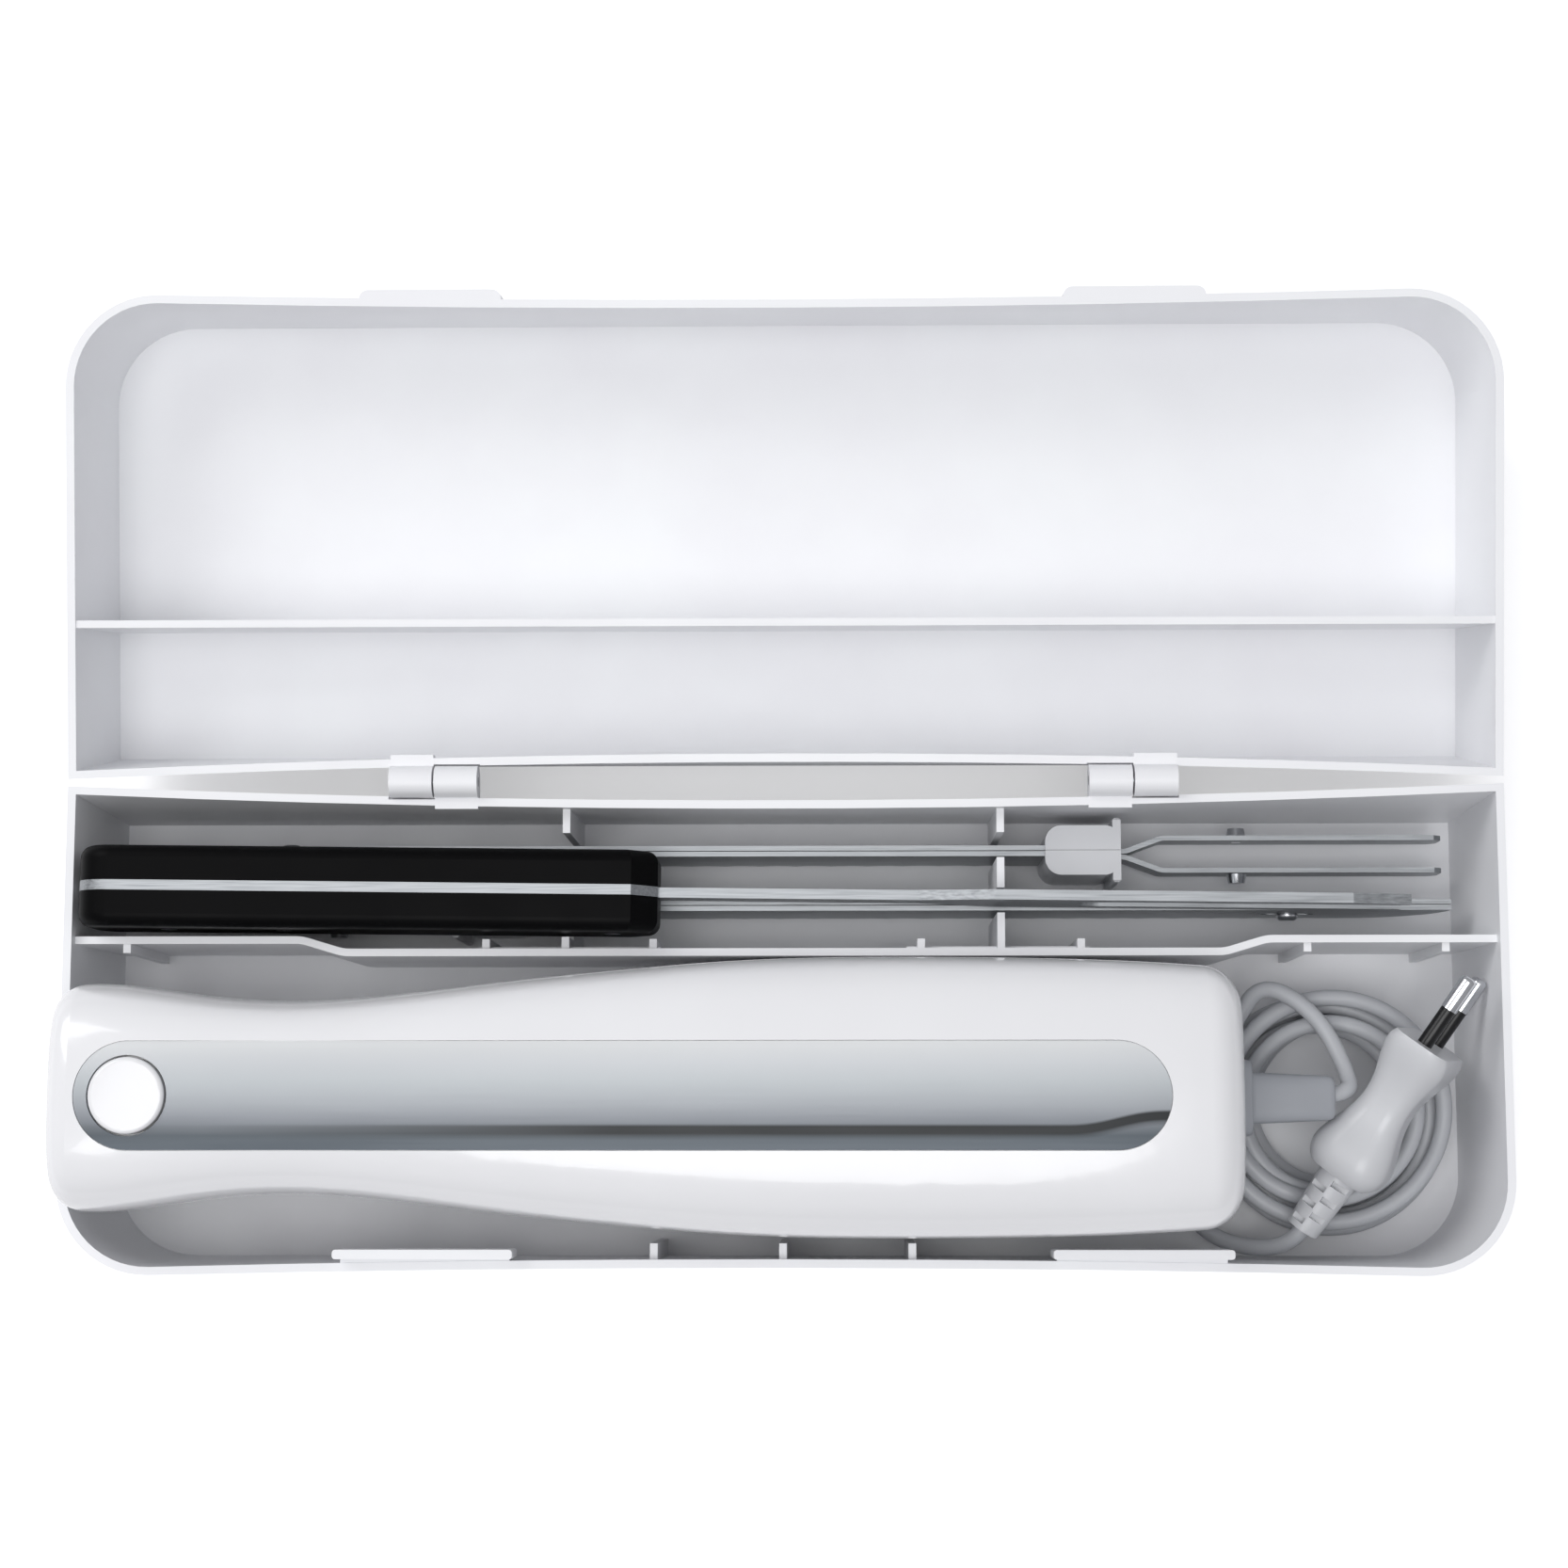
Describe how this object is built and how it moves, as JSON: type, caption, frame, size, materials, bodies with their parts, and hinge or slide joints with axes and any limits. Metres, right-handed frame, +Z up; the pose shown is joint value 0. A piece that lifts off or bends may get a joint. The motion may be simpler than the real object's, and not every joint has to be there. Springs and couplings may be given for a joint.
{
  "type": "electric carving knife set",
  "caption": "Corded electric carving knife in its moulded hinged case, with interchangeable saw-edged blade pairs and a two-tined carving fork.",
  "frame": {"origin": "centre of the case base's underside", "axes": "+X along the case towards the cord bay, +Y towards the lid's hinge, +Z up out of the case"},
  "size_m": [0.343, 0.2358, 0.077],
  "materials": {
    "case_plastic": "satin",
    "housing_plastic": "gloss",
    "silver_trim": "satin",
    "grey_plastic": "satin",
    "steel": "satin",
    "blade_steel": "brushed",
    "bronze": "satin",
    "iron": "matte",
    "copper": "satin",
    "black_plastic": "satin",
    "black_handle": "satin",
    "guard_plastic": "satin",
    "gear_plastic": "satin",
    "cord_plastic": "satin",
    "pin_metal": "polished"
  },
  "bodies": {
    "case": {"case_base": "case_plastic", "hinge_pins": "steel"},
    "lid": {"case_lid": "case_plastic"},
    "machine": {"lower_housing": "housing_plastic", "upper_housing": "housing_plastic", "top_inlay": "silver_trim", "nose_plate": "grey_plastic", "housing_screws": "steel", "shaft_bearings": "bronze", "stator_core": "iron", "field_coils": "copper", "brush_holders": "bronze", "carbon_brushes": "black_plastic", "gearbox_frame": "steel", "wheel_axle": "steel", "slide_guide": "gear_plastic", "button_bracket": "steel", "release_spring": "steel", "trigger_pin": "steel", "trigger_spring": "steel", "power_switch": "black_plastic", "suppressor": "gear_plastic", "cord_gland": "cord_plastic", "cord_clamp": "grey_plastic", "cord_lead": "cord_plastic", "cord_coil": "cord_plastic", "cord_tail": "cord_plastic", "plug_relief": "cord_plastic", "plug_body": "cord_plastic", "pin_sleeves": "black_plastic", "plug_pins": "pin_metal"},
    "armature": {"armature_core": "iron", "motor_shaft": "steel", "commutator": "copper", "cooling_fan": "gear_plastic"},
    "drive_wheel": {"worm_wheel": "gear_plastic", "crank_pins": "steel"},
    "near_drive": {"near_drive_slide": "steel", "near_tang_clip": "steel"},
    "far_drive": {"far_drive_slide": "steel", "far_tang_clip": "steel"},
    "release": {"release_button": "housing_plastic"},
    "trigger": {"trigger": "grey_plastic"},
    "pair_a": {"pair_a_near_blade": "blade_steel", "pair_a_near_guard": "guard_plastic", "pair_a_near_stud": "steel", "pair_a_rivet": "steel"},
    "pair_a_slider": {"pair_a_far_blade": "blade_steel", "pair_a_far_guard": "guard_plastic", "pair_a_far_stud": "steel"},
    "pair_b": {"pair_b_far_blade": "blade_steel", "pair_b_far_guard": "guard_plastic", "pair_b_far_stud": "steel", "pair_b_rivet": "steel"},
    "pair_b_slider": {"pair_b_near_blade": "blade_steel", "pair_b_near_guard": "guard_plastic", "pair_b_near_stud": "steel"},
    "fork": {"fork_blank": "blade_steel", "fork_scales": "black_handle", "fork_rivets": "blade_steel"}
  },
  "joints": [
    {"name": "lid_hinge", "type": "hinge", "parent": "case", "child": "lid", "pos_m": [0, 0.059, 0.047], "axis": [1, 0, 0], "range_deg": [0, 171.9]},
    {"name": "machine_lift", "type": "slide", "parent": "case", "child": "machine", "axis": [0, 0, 1], "range_m": [0, 0.12]},
    {"name": "motor_spin", "type": "hinge", "parent": "machine", "child": "armature", "pos_m": [0.022, -0.0162, 0.04015], "axis": [1, 0, 0], "continuous": true},
    {"name": "wheel_spin", "type": "hinge", "parent": "machine", "child": "drive_wheel", "pos_m": [-0.052, -0.0162, 0.057], "axis": [0, 1, 0], "continuous": true},
    {"name": "near_stroke", "type": "slide", "parent": "machine", "child": "near_drive", "axis": [1, 0, 0], "range_m": [-0.0045, 0.0045]},
    {"name": "far_stroke", "type": "slide", "parent": "machine", "child": "far_drive", "axis": [1, 0, 0], "range_m": [-0.0045, 0.0045]},
    {"name": "release_press", "type": "slide", "parent": "machine", "child": "release", "axis": [0, 0, -1], "range_m": [0, 0.003], "stiffness_N_per_m": 400, "springref_m": -0.001, "deforming": ["release_spring"]},
    {"name": "trigger_press", "type": "hinge", "parent": "machine", "child": "trigger", "pos_m": [-0.077, -0.0162, 0.038], "axis": [0, 1, 0], "range_deg": [0, 5], "stiffness_Nm_per_rad": 0.6, "springref_deg": -8.59, "deforming": ["trigger_spring"]},
    {"name": "pair_a_lift", "type": "slide", "parent": "case", "child": "pair_a", "axis": [0, 0, 1], "range_m": [0, 0.09]},
    {"name": "pair_a_stroke", "type": "slide", "parent": "pair_a", "child": "pair_a_slider", "axis": [1, 0, 0], "range_m": [-0.0045, 0.0045]},
    {"name": "pair_b_lift", "type": "slide", "parent": "pair_a", "child": "pair_b", "axis": [0, 0, 1], "range_m": [0, 0.06]},
    {"name": "pair_b_stroke", "type": "slide", "parent": "pair_b", "child": "pair_b_slider", "axis": [1, 0, 0], "range_m": [-0.0045, 0.0045]},
    {"name": "fork_lift", "type": "slide", "parent": "pair_b", "child": "fork", "axis": [0, 0, 1], "range_m": [0, 0.06]}
  ],
  "couplings": [
    {"joint": "wheel_spin", "follows": "motor_spin", "ratio": 0.04},
    {"joint": "far_stroke", "follows": "near_stroke", "ratio": -1}
  ]
}
